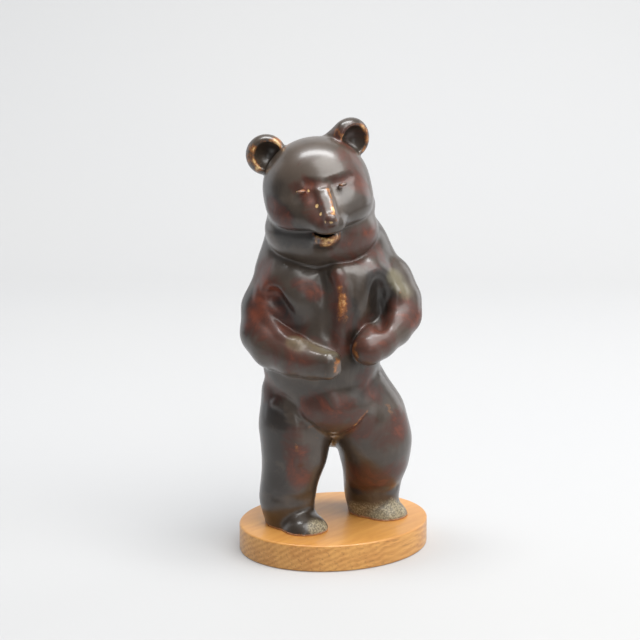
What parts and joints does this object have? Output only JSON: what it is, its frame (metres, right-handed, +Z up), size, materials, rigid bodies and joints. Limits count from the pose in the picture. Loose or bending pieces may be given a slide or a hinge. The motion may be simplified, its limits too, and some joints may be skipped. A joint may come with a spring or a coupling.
{
  "type": "stoneware bear figurine",
  "caption": "Standing bear in glazed stoneware with its forepaws held at the belly, on an oval oak plate.",
  "frame": {"origin": "centre of the oak plate's underside", "axes": "+Z up, X along the plate's long axis, the bear faces roughly -Y"},
  "size_m": [0.1248, 0.106, 0.2744],
  "materials": {
    "glaze": "glossy iron-brown glaze with rust-red patches, thin and golden on the edges",
    "oak": "satin clear-finished oak"
  },
  "bodies": {
    "root": {"bear": "glaze", "oak_base": "oak"}
  },
  "joints": []
}
